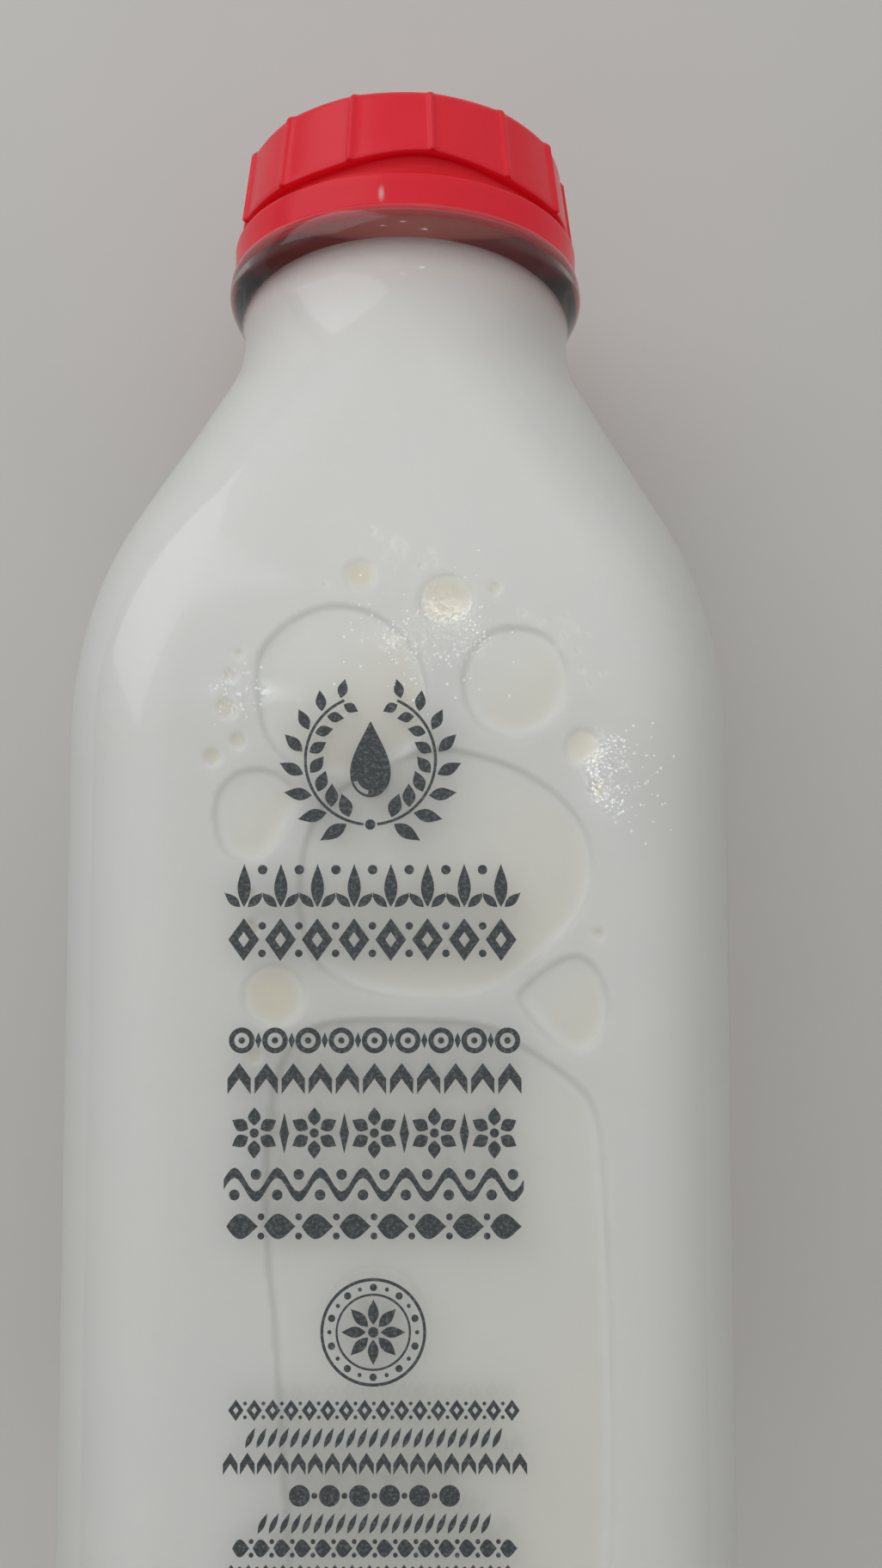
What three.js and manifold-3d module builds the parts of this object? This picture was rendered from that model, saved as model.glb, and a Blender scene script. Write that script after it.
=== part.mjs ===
// A square glass milk bottle lying on its back, full of milk and shut by a ribbed plastic cap.
// Each piece is shaped standing up: z runs along the bottle's axis from the base, and the front
// faces -y. The group then lays the bottle down: +z is up, +y points to the cap, the front face
// is on top, and the origin is under the middle of the bottle's box.
import * as THREE from "three";
import Module from "manifold-3d";

// All sizes are in millimetres, and heights are counted from the base along the axis.
const BODY_HALF = 42.5; // half of the square body's width
const BODY_CORNER = 15.5; // radius of the body's upright corners
const WALL = 3.8; // thickness of the glass
const CLEARANCE = 0.3; // air between two neighbouring pieces
const LEAST_FLAT = 0.3; // half of the flat left on a round section, so that its points stay apart
const LEAST_CORNER = 4; // corner radius that a drawn-in section keeps

const HEEL_RADIUS = 8; // rounded edge between the sides and the base
const BEARING_WIDTH = 5; // flat ring that the upright bottle stands on
const PUSH_UP = 3; // how far the middle of the base is pushed in
const BASE_THICKNESS = 7; // from the bearing ring up to the floor inside
const FLOOR_RADIUS = 9; // rounded edge of that floor

const SHOULDER_START = 124.7; // where the straight sides end
const SHOULDER_RADIUS = 83; // the side bends inwards on this arc
const SHOULDER_TILT = THREE.MathUtils.degToRad(22.1); // slope of the shoulder
const NECK_CURVE_RADIUS = 27.2; // the slope bends back into the neck on this arc
const NECK_RADIUS = 24.9; // narrowest place outside
const NECK_HEIGHT = 189.5; // where that place is
const ROUNDING_POWER = 1.45; // how fast the square section turns round up the shoulder

const RING_RADIUS = 27.2; // the glass ring under the cap
const RING_HEIGHT = 195.9; // its widest place
const RING_TOP = 199.3; // where it meets the finish inside the cap
const RING_FULLNESS = 0.25; // 1 makes its upper side a quarter ellipse, and less a fuller one
const FINISH_RADIUS = 22.3; // the glass that the cap screws on to
const BORE_RADIUS = 19; // the mouth's opening
const BORE_START = 200.5; // where the neck inside has narrowed to the bore
const MOUTH_HEIGHT = 214.4;
const LIP_RADIUS = 1.4; // rounding of the mouth's two edges

const TOTAL_HEIGHT = 216.4; // top of the cap
const CAP_BOTTOM = 199.6;
const CAP_TOP_THICKNESS = 1.7;
const CAP_BAND_RADIUS = 26.4; // the plain band at the cap's rim
const CAP_BAND_TOP = 203.1;
const CAP_GROOVE_RADIUS = 24.2; // the groove between the band and the ribbed part
const CAP_GROOVE_HEIGHT = 204.2;
const CAP_RIB_BOTTOM = 205.2;
const CAP_LOWER_RADIUS = 25.6; // the ribbed part at its lower end, at a rib's foot
const CAP_UPPER_RADIUS = 24.3; // the same at its upper end
const CAP_EDGE_RADIUS = 1.5; // rounding of the top edge
const RIM_ROUNDING = 0.4;
const RIB_COUNT = 14;
const RIB_HEIGHT = 0.55;
const RIB_HALF_WIDTH = 0.75;
const RIB_HALF_CREST = 0.35;
const RIB_TURN = THREE.MathUtils.degToRad(9.8); // from the middle of the front to the next rib
const FACET_FLATNESS = 0.3; // 1 makes flat faces between the ribs, and 0 a round cap
const FACET_POINTS = 2;
const SEAL_BOTTOM = 197.9; // the cap's seal is a thin wall that reaches down inside the mouth
const SEAL_THICKNESS = 1.2;

const CORNER_STEPS = 8; // pieces in each rounded corner of a section
const ARC_STEPS = 6; // pieces in each arc of a profile
const LIP_STEPS = 3; // pieces in each rounded edge of the mouth
const SLOPE_SHARES = [1 / 3, 2 / 3]; // places of the sections on the straight slope
const QUARTER_TURN = Math.PI / 2;

// Air under the front face: each pocket is a shallow hollow in the milk. across is measured from
// the axis, and power 2 gives an ellipse, more gives a squarer outline.
const POCKET_DEPTH = 2;
const POCKET_EDGE = 2.2; // width of the rounded edge of a large pocket
const POCKET_STEPS = 3;
const SMALL_POCKET_EDGE = 0.5; // the edge and depth of a small pocket, as shares of its half width
const SMALL_POCKET_DEPTH = 0.6;
const TOOL_REACH = 1; // how far the tool that cuts a pocket starts outside the milk
const POCKETS = [
  { across: -7.3, height: 130.6, halfWidth: 9.9, halfHeight: 10.6, power: 2.2, sides: 32 },
  { across: 14.6, height: 131.8, halfWidth: 7.1, halfHeight: 7.1, power: 2, sides: 28 },
  { across: -16.5, height: 115.8, halfWidth: 5.8, halfHeight: 5.7, power: 2.2, sides: 24 },
  { across: 7.4, height: 108.4, halfWidth: 16.7, halfHeight: 15.4, power: 2.2, sides: 36 },
  { across: 21.2, height: 92.3, halfWidth: 4.9, halfHeight: 5.3, power: 2, sides: 24 },
  { across: 5.4, height: 55, halfWidth: 20.3, halfHeight: 36, power: 3, sides: 48 },
  { across: -14.4, height: 93.9, halfWidth: 3.9, halfHeight: 3.8, power: 2, sides: 20 },
  { across: 6.2, height: 141.6, halfWidth: 3.5, halfHeight: 3.5, power: 2, sides: 18 },
  { across: 22.6, height: 123.5, halfWidth: 2.4, halfHeight: 2.4, power: 2, sides: 14 },
  { across: -4.5, height: 144.9, halfWidth: 2.1, halfHeight: 2.1, power: 2, sides: 14 },
];

const wasm = await Module();
wasm.setup();

// A closed solid through rings that hold equally many points. Each end is a fan round its middle.
function loft(rings) {
  const count = rings[0].length;
  const points = rings.flat();
  const triangles = [];
  for (let level = 0; level + 1 < rings.length; level++) {
    for (let i = 0; i < count; i++) {
      const here = level * count + i;
      const next = level * count + ((i + 1) % count);
      triangles.push(here, next, next + count);
      triangles.push(here, next + count, here + count);
    }
  }
  const lastRing = (rings.length - 1) * count;
  const firstMiddle = points.push(middleOf(rings[0])) - 1;
  const lastMiddle = points.push(middleOf(rings.at(-1))) - 1;
  for (let i = 0; i < count; i++) {
    const next = (i + 1) % count;
    triangles.push(firstMiddle, next, i);
    triangles.push(lastMiddle, lastRing + i, lastRing + next);
  }
  const geometry = new THREE.BufferGeometry().setFromPoints(points);
  geometry.setIndex(triangles);
  geometry.computeVertexNormals();
  return geometry;
}

function middleOf(ring) {
  const sum = new THREE.Vector3();
  ring.forEach((point) => sum.add(point));
  return sum.divideScalar(ring.length);
}

// The bottle's level section: a square with rounded corners, which is round if corner = half.
function squareRing({ height, half, corner }) {
  const radius = Math.min(corner, half - LEAST_FLAT);
  const flat = half - radius;
  const ring = [];
  for (let quarter = 0; quarter < 4; quarter++) {
    const diagonal = (quarter + 0.5) * QUARTER_TURN;
    const centre = new THREE.Vector3(
      flat * Math.sign(Math.cos(diagonal)),
      flat * Math.sign(Math.sin(diagonal)),
      height,
    );
    for (let step = 0; step <= CORNER_STEPS; step++) {
      const angle = (quarter + step / CORNER_STEPS) * QUARTER_TURN;
      const out = new THREE.Vector3(Math.cos(angle), Math.sin(angle), 0);
      ring.push(out.multiplyScalar(radius).add(centre));
    }
  }
  return ring;
}

// The corner radius that a section of this half width has, as the square turns into the neck.
function cornerAt(half) {
  const progress = THREE.MathUtils.clamp((BODY_HALF - half) / (BODY_HALF - NECK_RADIUS), 0, 1);
  const squareShare = BODY_CORNER / BODY_HALF;
  return half * (squareShare + (1 - squareShare) * progress ** ROUNDING_POWER);
}

// Sections up the shoulder, for a surface that lies inset inside the glass's outer face.
function shoulderSections(inset) {
  const outline = [];
  for (let step = 0; step <= ARC_STEPS; step++) {
    const tilt = (SHOULDER_TILT * step) / ARC_STEPS;
    const height = SHOULDER_START + SHOULDER_RADIUS * Math.sin(tilt);
    const half = BODY_HALF - SHOULDER_RADIUS * (1 - Math.cos(tilt));
    outline.push({ height, half, tilt });
  }
  for (let step = 0; step <= ARC_STEPS; step++) {
    const tilt = SHOULDER_TILT * (1 - step / ARC_STEPS);
    const height = NECK_HEIGHT - NECK_CURVE_RADIUS * Math.sin(tilt);
    const half = NECK_RADIUS + NECK_CURVE_RADIUS * (1 - Math.cos(tilt));
    outline.push({ height, half, tilt });
  }
  const slopeStart = outline[ARC_STEPS];
  const slopeEnd = outline[ARC_STEPS + 1];
  const slope = SLOPE_SHARES.map((share) => ({
    height: THREE.MathUtils.lerp(slopeStart.height, slopeEnd.height, share),
    half: THREE.MathUtils.lerp(slopeStart.half, slopeEnd.half, share),
    tilt: SHOULDER_TILT,
  }));
  outline.splice(ARC_STEPS + 1, 0, ...slope);
  return outline.map(({ height, half, tilt }) => ({
    height: height - inset * Math.sin(tilt),
    half: half - inset * Math.cos(tilt),
    corner: cornerAt(half) - inset,
  }));
}

function roundSection(height, radius) {
  return { height, half: radius, corner: radius };
}

// The glass ring bulges out of the neck, slowly from below and steeply under the cap.
function ringSections() {
  const sections = [];
  for (let step = 1; step <= ARC_STEPS; step++) {
    const share = step / ARC_STEPS;
    const bulge = (1 - Math.cos(Math.PI * share)) / 2;
    const height = THREE.MathUtils.lerp(NECK_HEIGHT, RING_HEIGHT, share);
    sections.push(roundSection(height, NECK_RADIUS + (RING_RADIUS - NECK_RADIUS) * bulge));
  }
  for (let step = 1; step <= ARC_STEPS; step++) {
    const angle = (QUARTER_TURN * step) / ARC_STEPS;
    const height = RING_HEIGHT + (RING_TOP - RING_HEIGHT) * Math.sin(angle);
    const drawn = Math.max(Math.cos(angle), 0) ** RING_FULLNESS;
    const radius = THREE.MathUtils.lerp(FINISH_RADIUS, RING_RADIUS, drawn);
    sections.push(roundSection(height, radius));
  }
  return sections;
}

// The mouth's lip, from the finish outside over the top to the bore.
function lipSections() {
  const sections = [];
  for (let step = 0; step <= LIP_STEPS; step++) {
    const angle = (QUARTER_TURN * step) / LIP_STEPS;
    const height = MOUTH_HEIGHT - LIP_RADIUS * (1 - Math.sin(angle));
    sections.push(roundSection(height, FINISH_RADIUS - LIP_RADIUS * (1 - Math.cos(angle))));
  }
  for (let step = 0; step <= LIP_STEPS; step++) {
    const angle = (QUARTER_TURN * step) / LIP_STEPS;
    const height = MOUTH_HEIGHT - LIP_RADIUS * (1 - Math.cos(angle));
    sections.push(roundSection(height, BORE_RADIUS + LIP_RADIUS * (1 - Math.sin(angle))));
  }
  return sections;
}

// A body section drawn in from the sides by some distance, with its corners drawn in alike.
function drawnIn(height, distance) {
  const corner = Math.max(BODY_CORNER - distance, LEAST_CORNER);
  return { height, half: BODY_HALF - distance, corner };
}

// The base outside: the pushed-in middle, the bearing ring and the rounded heel.
function baseSections() {
  const ringInner = BODY_HALF - HEEL_RADIUS - BEARING_WIDTH;
  const sections = [];
  for (let step = 1; step <= ARC_STEPS; step++) {
    const share = step / ARC_STEPS;
    const height = PUSH_UP * Math.cos(QUARTER_TURN * share);
    const half = ringInner * share;
    const corner = THREE.MathUtils.lerp(ringInner, LEAST_CORNER, share ** 2);
    sections.push({ height, half, corner: Math.min(corner, half) });
  }
  for (let step = 0; step <= ARC_STEPS; step++) {
    const angle = (QUARTER_TURN * step) / ARC_STEPS;
    const height = HEEL_RADIUS * (1 - Math.cos(angle));
    sections.push(drawnIn(height, HEEL_RADIUS * (1 - Math.sin(angle))));
  }
  return sections;
}

// The inside of the bottle from its floor to the end of the neck, for the glass or the milk.
function innerSections(inset) {
  const floor = BASE_THICKNESS + inset - WALL;
  const sections = [];
  for (let step = 0; step <= ARC_STEPS; step++) {
    const angle = (QUARTER_TURN * step) / ARC_STEPS;
    const height = floor + FLOOR_RADIUS * (1 - Math.cos(angle));
    sections.push(drawnIn(height, inset + FLOOR_RADIUS * (1 - Math.sin(angle))));
  }
  const neck = NECK_RADIUS - inset;
  const bore = BORE_RADIUS + WALL - inset;
  const narrowing = [];
  for (let step = 1; step <= ARC_STEPS; step++) {
    const share = step / ARC_STEPS;
    const radius = THREE.MathUtils.lerp(neck, bore, (1 - Math.cos(Math.PI * share)) / 2);
    narrowing.push(roundSection(THREE.MathUtils.lerp(NECK_HEIGHT, BORE_START, share), radius));
  }
  return [...sections, ...shoulderSections(inset), ...narrowing];
}

function bottleGeometry() {
  const inside = innerSections(WALL).reverse();
  const sections = [
    ...baseSections(),
    ...shoulderSections(0),
    ...ringSections(),
    ...lipSections(),
    ...inside,
  ];
  return loft(sections.map(squareRing));
}

// A ring of the cap. foot is its radius at a rib's foot, and the faces between the ribs are as
// flat as flatness says.
function capRing(height, foot, ribHeight = 0, flatness = 0) {
  const pitch = (2 * Math.PI) / RIB_COUNT;
  const footAngle = RIB_HALF_WIDTH / foot;
  const crestAngle = RIB_HALF_CREST / foot;
  const facetHalf = pitch / 2 - footAngle;
  const ring = [];
  for (let rib = 0; rib < RIB_COUNT; rib++) {
    const ribAngle = RIB_TURN - QUARTER_TURN + rib * pitch;
    const addPoint = (angle, radius) =>
      ring.push(new THREE.Vector3(radius * Math.cos(angle), radius * Math.sin(angle), height));
    addPoint(ribAngle - footAngle, foot);
    addPoint(ribAngle - crestAngle, foot + ribHeight);
    addPoint(ribAngle + crestAngle, foot + ribHeight);
    addPoint(ribAngle + footAngle, foot);
    for (let point = 1; point <= FACET_POINTS; point++) {
      const fromMiddle = facetHalf * ((2 * point) / (FACET_POINTS + 1) - 1);
      const flatRadius = (foot * Math.cos(facetHalf)) / Math.cos(fromMiddle);
      const radius = THREE.MathUtils.lerp(foot, flatRadius, flatness);
      addPoint(ribAngle + pitch / 2 + fromMiddle, radius);
    }
  }
  return ring;
}

// The cap's ribbed part, which tapers towards its rounded top edge.
function ribbedRings() {
  const edgeStart = TOTAL_HEIGHT - CAP_EDGE_RADIUS;
  const rings = [
    capRing(CAP_RIB_BOTTOM - RIM_ROUNDING, CAP_LOWER_RADIUS - RIM_ROUNDING),
    capRing(CAP_RIB_BOTTOM, CAP_LOWER_RADIUS, RIB_HEIGHT, FACET_FLATNESS),
  ];
  for (let step = 0; step <= ARC_STEPS; step++) {
    const angle = (QUARTER_TURN * step) / ARC_STEPS;
    const height = edgeStart + CAP_EDGE_RADIUS * Math.sin(angle);
    const foot = CAP_UPPER_RADIUS - CAP_EDGE_RADIUS * (1 - Math.cos(angle));
    rings.push(capRing(height, foot, RIB_HEIGHT * Math.cos(angle), FACET_FLATNESS));
  }
  return rings;
}

function capGeometry() {
  const insideTop = TOTAL_HEIGHT - CAP_TOP_THICKNESS;
  const insideRadius = FINISH_RADIUS + CLEARANCE;
  const sealRadius = BORE_RADIUS - CLEARANCE;
  return loft([
    capRing(insideTop, sealRadius - SEAL_THICKNESS),
    capRing(SEAL_BOTTOM, sealRadius - SEAL_THICKNESS),
    capRing(SEAL_BOTTOM, sealRadius),
    capRing(insideTop, sealRadius),
    capRing(insideTop, insideRadius),
    capRing(CAP_BOTTOM, insideRadius),
    capRing(CAP_BOTTOM, CAP_BAND_RADIUS - RIM_ROUNDING),
    capRing(CAP_BOTTOM + RIM_ROUNDING, CAP_BAND_RADIUS),
    capRing(CAP_BAND_TOP - RIM_ROUNDING, CAP_BAND_RADIUS),
    capRing(CAP_BAND_TOP, CAP_BAND_RADIUS - RIM_ROUNDING),
    capRing(CAP_GROOVE_HEIGHT, CAP_GROOVE_RADIUS),
    ...ribbedRings(),
  ]);
}

// The tool that hollows one air pocket out of the milk, from its floor to above the milk's face.
function pocketGeometry({ across, height, halfWidth, halfHeight, power, sides }) {
  const edge = Math.min(POCKET_EDGE, halfWidth * SMALL_POCKET_EDGE);
  const depth = Math.min(POCKET_DEPTH, halfWidth * SMALL_POCKET_DEPTH);
  const face = -(BODY_HALF - WALL - CLEARANCE);
  const rounding = 2 / power;
  const outline = (level, drawn) =>
    Array.from({ length: sides }, (_, side) => {
      const angle = (2 * Math.PI * side) / sides;
      const cos = Math.cos(angle);
      const sin = Math.sin(angle);
      const x = Math.sign(cos) * Math.abs(cos) ** rounding * (halfWidth - drawn);
      const z = Math.sign(sin) * Math.abs(sin) ** rounding * (halfHeight - drawn);
      return new THREE.Vector3(across + x, level, height + z);
    });
  const rings = [];
  for (let step = 0; step <= POCKET_STEPS; step++) {
    const angle = (QUARTER_TURN * step) / POCKET_STEPS;
    rings.push(outline(face + depth * Math.cos(angle), edge * (1 - Math.sin(angle))));
  }
  rings.push(outline(face - TOOL_REACH, 0));
  return loft(rings);
}

function solidFrom(geometry) {
  const vertProperties = geometry.getAttribute("position").array;
  const triVerts = Uint32Array.from(geometry.index.array);
  return new wasm.Manifold(new wasm.Mesh({ numProp: 3, vertProperties, triVerts }));
}

function geometryFrom(solid) {
  const { vertProperties, triVerts } = solid.getMesh();
  const geometry = new THREE.BufferGeometry();
  geometry.setAttribute("position", new THREE.BufferAttribute(vertProperties, 3));
  geometry.setIndex(new THREE.BufferAttribute(triVerts, 1));
  geometry.computeVertexNormals();
  return geometry;
}

function roundTool(bottom, top, radius) {
  return solidFrom(loft([roundSection(bottom, radius), roundSection(top, radius)].map(squareRing)));
}

// The milk fills the bottle up to the mouth, apart from the air under its upper face. In the
// mouth it is a narrower core, inside the cap's seal.
function milkGeometry() {
  const milkEnd = SEAL_BOTTOM - CLEARANCE;
  const coreRadius = BORE_RADIUS - SEAL_THICKNESS - 2 * CLEARANCE;
  let milk = solidFrom(loft(innerSections(WALL + CLEARANCE).map(squareRing)));
  milk = milk.subtract(roundTool(milkEnd, TOTAL_HEIGHT, BODY_HALF));
  milk = milk.add(roundTool(milkEnd - TOOL_REACH, MOUTH_HEIGHT - CLEARANCE, coreRadius));
  for (const pocket of POCKETS) milk = milk.subtract(solidFrom(pocketGeometry(pocket)));
  return geometryFrom(milk);
}

const glassMaterial = new THREE.MeshStandardMaterial({
  color: 0xe4ecea,
  roughness: 0.05,
  metalness: 0,
  transparent: true,
  opacity: 0.3,
});
const milkMaterial = new THREE.MeshStandardMaterial({ color: 0xe9e8e0, roughness: 0.5, metalness: 0 });
const capMaterial = new THREE.MeshStandardMaterial({ color: 0xd02438, roughness: 0.35, metalness: 0 });

function namedMesh(name, geometry, material) {
  const mesh = new THREE.Mesh(geometry, material);
  mesh.name = name;
  return mesh;
}

const bottle = new THREE.Group();
bottle.add(
  namedMesh("glass_bottle", bottleGeometry(), glassMaterial),
  namedMesh("milk", milkGeometry(), milkMaterial),
  namedMesh("cap", capGeometry(), capMaterial),
);
bottle.rotation.x = -QUARTER_TURN;
bottle.position.set(0, -TOTAL_HEIGHT / 2, BODY_HALF);

const group = new THREE.Group();
group.add(bottle);

export default group;
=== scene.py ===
# %% [markdown]
# A square milk bottle of clear glass lies on its back, full of milk and shut by a red cap. The
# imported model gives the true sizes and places. This script keeps them and adds the looks:
# glass that really bends light, milk with air trapped under the upper face, a ribbed cap, and
# ink printed on the glass.

# %% Load the frame
import math

import bpy
import numpy as np
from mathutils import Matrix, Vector


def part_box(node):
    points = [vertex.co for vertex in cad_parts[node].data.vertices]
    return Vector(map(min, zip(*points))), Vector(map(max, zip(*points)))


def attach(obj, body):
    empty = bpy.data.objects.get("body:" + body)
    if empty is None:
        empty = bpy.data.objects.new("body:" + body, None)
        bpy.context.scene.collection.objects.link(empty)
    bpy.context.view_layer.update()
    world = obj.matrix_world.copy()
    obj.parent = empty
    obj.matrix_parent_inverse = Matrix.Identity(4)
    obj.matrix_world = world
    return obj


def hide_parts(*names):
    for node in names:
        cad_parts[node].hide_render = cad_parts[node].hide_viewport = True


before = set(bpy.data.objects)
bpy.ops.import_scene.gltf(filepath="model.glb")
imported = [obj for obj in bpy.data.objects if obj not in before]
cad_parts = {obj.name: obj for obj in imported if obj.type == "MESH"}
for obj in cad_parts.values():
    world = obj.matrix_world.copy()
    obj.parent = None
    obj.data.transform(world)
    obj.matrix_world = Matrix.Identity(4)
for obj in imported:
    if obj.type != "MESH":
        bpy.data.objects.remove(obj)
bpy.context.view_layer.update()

# %% [markdown]
# Every size below is a real one, in metres. The bottle's own directions are easier to think in
# than x, y and z: across is to the right of its front face, along is from its base to its cap,
# and up is out of the front face, counted from the bottle's axis. The frame says where base and
# axis are, so one short function turns the bottle's directions into scene coordinates.

# %% The bottle's own directions
MM = 0.001
glass_low, glass_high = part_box("glass_bottle")
cap_low, cap_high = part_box("cap")
body_half = glass_high.x
axis_height = (glass_low.z + glass_high.z) / 2
base_y = glass_low.y
total_length = cap_high.y - base_y


def in_scene(across, along, up):
    return Vector((across, base_y + along, axis_height + up))


print(f"body {2000 * body_half:.1f} mm wide, {1000 * total_length:.1f} mm long with its cap")

# %% [markdown]
# The camera looks down on the bottle from close by, so the near face looks larger than the
# body's sides. Its height, place and slight pitch are those that make the outline of a body
# this wide fall on the outline in the photograph.

# %% Camera
PHOTO_HEIGHT = 1824
CAMERA_ACROSS = 5.5 * MM
CAMERA_ALONG = 110.8 * MM
CAMERA_ABOVE_AXIS = 184.5 * MM
CAMERA_PITCH = 0.0576
FOCAL_PIXELS = 1400
SENSOR_MM = 36


def placed(name, data):
    """A new object in the scene, made of the data."""
    thing = bpy.data.objects.new(name, data)
    bpy.context.scene.collection.objects.link(thing)
    return thing


camera_data = bpy.data.cameras.new("camera")
camera_data.sensor_width = SENSOR_MM
camera_data.lens = SENSOR_MM * FOCAL_PIXELS / PHOTO_HEIGHT
camera_data.clip_start = 0.01
camera = placed("camera", camera_data)
camera.location = in_scene(CAMERA_ACROSS, CAMERA_ALONG, CAMERA_ABOVE_AXIS)
camera.rotation_euler = (CAMERA_PITCH, 0, 0)
bpy.context.scene.camera = camera
print(f"lens {camera_data.lens:.2f} mm")

# %% [markdown]
# A material in Blender is a small network of nodes. Each one here is a Principled shader whose
# colour, gloss or bump comes from noise. One helper makes the shader, another adds a node of a
# kind and sets its inputs by name, and the rest add the few small networks used below.

# %% Material helpers
def set_inputs(node, inputs):
    for socket, value in inputs.items():
        node.inputs[socket.replace("_", " ")].default_value = value


def new_material(name, **inputs):
    material = bpy.data.materials.new(name)
    material.use_nodes = True
    shader = material.node_tree.nodes["Principled BSDF"]
    set_inputs(shader, inputs)
    return material, shader


def add_node(material, kind, **inputs):
    node = material.node_tree.nodes.new("ShaderNode" + kind)
    set_inputs(node, inputs)
    return node


def link(material, output, target):
    material.node_tree.links.new(output, target)


def noise_on(material, size, detail=2.0, roughness=0.5):
    """Noise whose lumps are about size metres wide, fixed to the object."""
    place = add_node(material, "TexCoord")
    texture = add_node(material, "TexNoise", Scale=1 / size, Detail=detail, Roughness=roughness)
    link(material, place.outputs["Object"], texture.inputs["Vector"])
    return texture


def ramp_on(material, amount, first_colour, last_colour, start=0.0, end=1.0):
    """A colour that runs from first to last while the amount runs from start to end."""
    ramp = add_node(material, "ValToRGB")
    first, last = ramp.color_ramp.elements
    first.position, last.position = start, end
    first.color, last.color = first_colour, last_colour
    link(material, amount, ramp.inputs["Fac"])
    return ramp.outputs["Color"]


def calculated(material, operation, first, second):
    """What a Math node makes of two amounts, each the output of a node or a plain number."""
    node = add_node(material, "Math")
    node.operation = operation
    for value, socket in ((first, node.inputs[0]), (second, node.inputs[1])):
        if isinstance(value, float):
            socket.default_value = value
        else:
            link(material, value, socket)
    return node.outputs["Value"]


def field_on(material, name):
    """The values stored under a name on the mesh's points."""
    field = add_node(material, "Attribute")
    field.attribute_name = name
    return field.outputs["Fac"]


def spot_on(material, centre, reach):
    """1 in the middle of a soft spot and 0 outside it. reach is its half size along x, y and z."""
    place = add_node(material, "TexCoord")
    scaled = add_node(
        material,
        "Mapping",
        Location=[-middle / half for middle, half in zip(centre, reach)],
        Scale=[1 / half for half in reach],
    )
    away = add_node(material, "VectorMath")
    away.operation = "LENGTH"
    share = add_node(material, "MapRange", To_Min=1, To_Max=0)
    share.interpolation_type = "SMOOTHSTEP"
    link(material, place.outputs["Object"], scaled.inputs["Vector"])
    link(material, scaled.outputs["Vector"], away.inputs[0])
    link(material, away.outputs["Value"], share.inputs["Value"])
    return share.outputs["Result"]


def tinted(material, colour, amount, tint):
    """The colour, turned into the tint as far as the amount says.

    A Mix node set to RGBA has its two colours at inputs 6 and 7 and the result at output 2.
    """
    mix = add_node(material, "Mix")
    mix.data_type = "RGBA"
    link(material, amount, mix.inputs["Factor"])
    link(material, colour, mix.inputs[6])
    mix.inputs[7].default_value = tint
    return mix.outputs[2]


def bump_from(material, height, strength, distance):
    bump = add_node(material, "Bump", Strength=strength, Distance=distance)
    link(material, height, bump.inputs["Height"])
    return bump


# %% [markdown]
# The floor is plain and pale. A little noise keeps it from looking like a void.

# %% Floor
FLOOR_SIZE = 3.0
FLOOR_DROP = 0.1 * MM
DARKER_FLOOR = (0.60, 0.59, 0.57, 1)
PALER_FLOOR = (0.66, 0.65, 0.63, 1)

bpy.ops.mesh.primitive_plane_add(size=FLOOR_SIZE, location=(0, 0, -FLOOR_DROP))
floor = bpy.context.object
floor.name = "floor"
floor_material, floor_shader = new_material("pale_floor", Roughness=0.7)
floor_tone = noise_on(floor_material, 0.08, detail=4)
floor_colour = ramp_on(floor_material, floor_tone.outputs["Fac"], DARKER_FLOOR, PALER_FLOOR)
link(floor_material, floor_colour, floor_shader.inputs["Base Color"])
floor.data.materials.append(floor_material)

# %% [markdown]
# Soft daylight comes from the upper left, as from a window: one large square lamp aimed at the
# bottle. It stays out of the cone that the flat front face would mirror into the camera, so
# the print stays clear of glare. Three small ceiling lights do stand in that cone: the glass
# mirrors them beside the print, where dew breaks each one up into sparkles. The room fills in
# the rest. It is a background that is brightest above the cap's end, a little to the right, and
# fades smoothly to the opposite side.

# %% Light
BRIGHT_SIDE = (0.18, 0.44, 0.880)
BRIGHT_SIDE_LIGHT = 0.78
DARK_SIDE_LIGHT = 0.02
FADE_POWER = 1.6


def soft_lamp(name, place, size, power, colour):
    data = bpy.data.lights.new(name, "AREA")
    data.size = size
    data.energy = power
    data.color = colour
    lamp = placed(name, data)
    lamp.location = place
    aim = Vector((0, 0, axis_height)) - Vector(place)
    lamp.rotation_euler = aim.to_track_quat("-Z", "Y").to_euler()


soft_lamp("window", (-0.40, 0.40, 0.40), 0.55, 1.0, (0.95, 0.97, 1.0))
soft_lamp("ceiling_light_near_cap", (0.003, 0.300, 0.620), 0.025, 0.029, (1.0, 0.97, 0.92))
soft_lamp("ceiling_light_right", (0.126, 0.051, 0.676), 0.025, 0.035, (0.9, 0.95, 1.0))
soft_lamp("ceiling_light_left", (-0.117, 0.174, 0.657), 0.020, 0.018, (0.9, 0.95, 1.0))

world = bpy.data.worlds.new("room_light")
bpy.context.scene.world = world
world.use_nodes = True
background = world.node_tree.nodes["Background"]
background.inputs["Color"].default_value = (1.0, 0.992, 0.975, 1)
direction = add_node(world, "TexCoord")
facing = add_node(world, "VectorMath")
facing.operation = "DOT_PRODUCT"
facing.inputs[1].default_value = BRIGHT_SIDE
share = add_node(world, "MapRange", From_Min=-1)
fade = calculated(world, "POWER", share.outputs["Result"], FADE_POWER)
brightness = add_node(world, "MapRange", To_Min=DARK_SIDE_LIGHT, To_Max=BRIGHT_SIDE_LIGHT)
link(world, direction.outputs["Generated"], facing.inputs[0])
link(world, facing.outputs["Value"], share.inputs["Value"])
link(world, fade, brightness.inputs["Value"])
link(world, brightness.outputs["Result"], background.inputs["Strength"])
bpy.context.scene.view_settings.view_transform = "Standard"

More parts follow.
